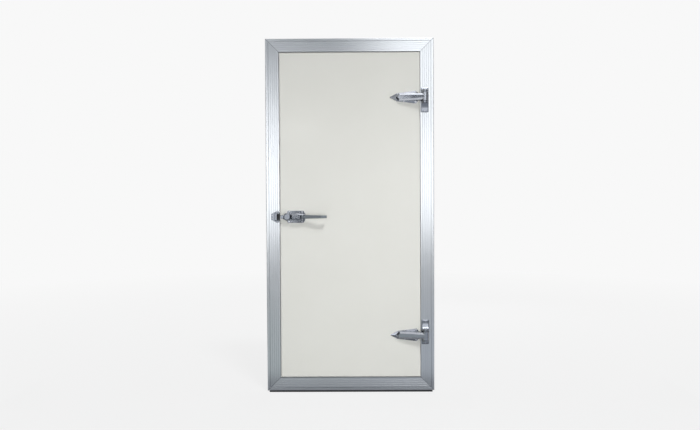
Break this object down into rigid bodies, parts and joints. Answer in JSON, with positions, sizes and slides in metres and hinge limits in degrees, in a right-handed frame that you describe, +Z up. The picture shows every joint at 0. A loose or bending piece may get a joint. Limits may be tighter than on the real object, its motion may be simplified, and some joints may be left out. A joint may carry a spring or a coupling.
{
  "type": "hinged walk-in cooler door with frame",
  "caption": "Insulated walk-in cooler door: a cream leaf in a mitred aluminium frame, hung on chromed strap hinges, with a lever latch and keeper.",
  "frame": {"origin": "middle of the casing's bottom edge, on the plane where the casing lies on the front of the wall", "axes": "+X along the wall to the right seen from in front, +Y into the cooler, +Z up"},
  "size_m": [1, 0.197, 2.108],
  "materials": {
    "anodised_aluminium": "satin anodised",
    "pvc": "extruded",
    "seal_rubber": "matte",
    "painted_steel": "satin",
    "foam": "matte",
    "nylon": "moulded",
    "steel_pin": "ground",
    "chrome_casting": "polished"
  },
  "bodies": {
    "frame": {"casing_left": "anodised_aluminium", "casing_head": "anodised_aluminium", "casing_right": "anodised_aluminium", "casing_sill": "anodised_aluminium", "liner_edge_left": "pvc", "liner_edge_head": "pvc", "liner_edge_right": "pvc", "liner_edge_sill": "pvc", "liner_left": "pvc", "liner_head": "pvc", "liner_right": "pvc", "liner_sill": "pvc", "rear_casing_left": "anodised_aluminium", "rear_casing_head": "anodised_aluminium", "rear_casing_right": "anodised_aluminium", "rear_casing_sill": "anodised_aluminium", "floor_seal": "seal_rubber", "upper_hinge_bracket": "chrome_casting", "lower_hinge_bracket": "chrome_casting", "upper_hinge_pin": "steel_pin", "lower_hinge_pin": "steel_pin", "keeper": "chrome_casting", "keeper_roller": "nylon"},
    "leaf": {"leaf_front_skin": "painted_steel", "leaf_core": "foam", "leaf_back_skin": "painted_steel", "leaf_trim_left": "pvc", "leaf_trim_head": "pvc", "leaf_trim_right": "pvc", "leaf_trim_sill": "pvc", "gasket_left": "seal_rubber", "gasket_head": "seal_rubber", "gasket_right": "seal_rubber", "gasket_sill": "seal_rubber", "upper_hinge_strap": "chrome_casting", "lower_hinge_strap": "chrome_casting", "upper_hinge_bush": "nylon", "lower_hinge_bush": "nylon", "latch_case": "chrome_casting", "latch_nose": "chrome_casting", "latch_pivot": "steel_pin", "release_rose": "chrome_casting", "release_knob": "nylon"},
    "handle": {"latch_handle": "chrome_casting"}
  },
  "joints": [
    {"name": "door_swing", "type": "hinge", "parent": "frame", "child": "leaf", "pos_m": [0.445, -0.06, 1.05], "axis": [0, 0, 1], "range_deg": [0, 120]},
    {"name": "handle_pull", "type": "hinge", "parent": "leaf", "child": "handle", "pos_m": [-0.283, -0.052, 1.043], "axis": [0, 0, -1], "range_deg": [0, 35]}
  ]
}
